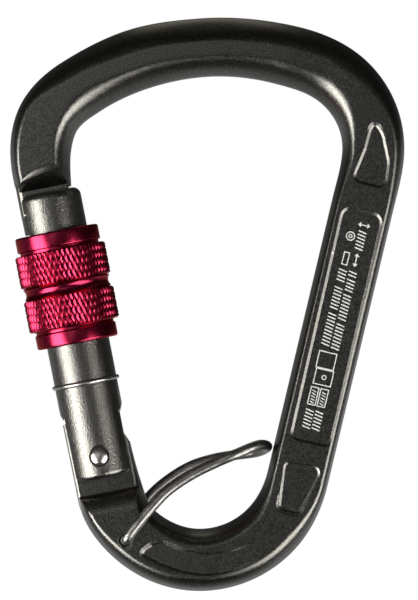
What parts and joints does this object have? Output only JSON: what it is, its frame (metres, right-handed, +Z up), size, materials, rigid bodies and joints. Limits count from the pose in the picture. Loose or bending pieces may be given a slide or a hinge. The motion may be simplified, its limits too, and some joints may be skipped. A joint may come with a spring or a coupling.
{
  "type": "locking carabiner",
  "caption": "Pear-shaped screw-lock carabiner: forged frame, swinging gate with a knurled locking sleeve, and a sprung wire keeper across the basket.",
  "frame": {"origin": "the seat at the top of the bow's inside, on the carabiner's middle plane, where it hangs on an anchor or a rope", "axes": "+Z up along the carabiner, +X from the gate to the spine, +Y from the front face to the back face, through the thickness"},
  "size_m": [0.0763, 0.0176, 0.1111],
  "materials": {
    "anodised_frame": "dark gunmetal anodised over a fine shot-blasted grain, satin",
    "satin_gate": "grey anodised, satin, fine grain",
    "red_sleeve": "crimson anodised, turned and knurled",
    "polished_steel": "bright polished stainless steel",
    "plain_steel": "plain drawn steel, inside the gate"
  },
  "bodies": {
    "frame": {"frame": "anodised_frame", "gate_rivet": "polished_steel"},
    "gate": {"gate_tube": "satin_gate", "gate_spring": "plain_steel"},
    "plunger": {"gate_plunger": "plain_steel"},
    "ring": {"stop_ring": "polished_steel"},
    "sleeve": {"lock_sleeve": "red_sleeve"},
    "keeper": {"keeper_wire": "polished_steel"}
  },
  "joints": [
    {"name": "gate_swing", "type": "hinge", "parent": "frame", "child": "gate", "pos_m": [-0.0244, 0, -0.0732], "axis": [0, 1, 0], "range_deg": [0, 26], "stiffness_Nm_per_rad": 0.2, "springref_deg": -51.57},
    {"name": "plunger_slide", "type": "slide", "parent": "gate", "child": "plunger", "axis": [-0.1925, 0, 0.9813], "range_m": [0, 0.0014], "deforming": ["gate_spring"]},
    {"name": "sleeve_turn", "type": "hinge", "parent": "gate", "child": "ring", "pos_m": [-0.0244, 0, -0.0732], "axis": [-0.1925, 0, 0.9813], "range_deg": [-1300, 1770]},
    {"name": "sleeve_travel", "type": "slide", "parent": "ring", "child": "sleeve", "axis": [-0.1925, 0, 0.9813], "range_m": [-0.0072, 0.0098]},
    {"name": "keeper_swing", "type": "hinge", "parent": "frame", "child": "keeper", "pos_m": [-0.0195, 0, -0.0894], "axis": [0, -1, 0], "range_deg": [0, 25], "stiffness_Nm_per_rad": 0.1, "springref_deg": -22.92}
  ],
  "couplings": [
    {"joint": "plunger_slide", "follows": "gate_swing", "m_per_rad": 0.003},
    {"joint": "sleeve_turn", "follows": "sleeve_travel", "rad_per_m": 3141.6}
  ]
}
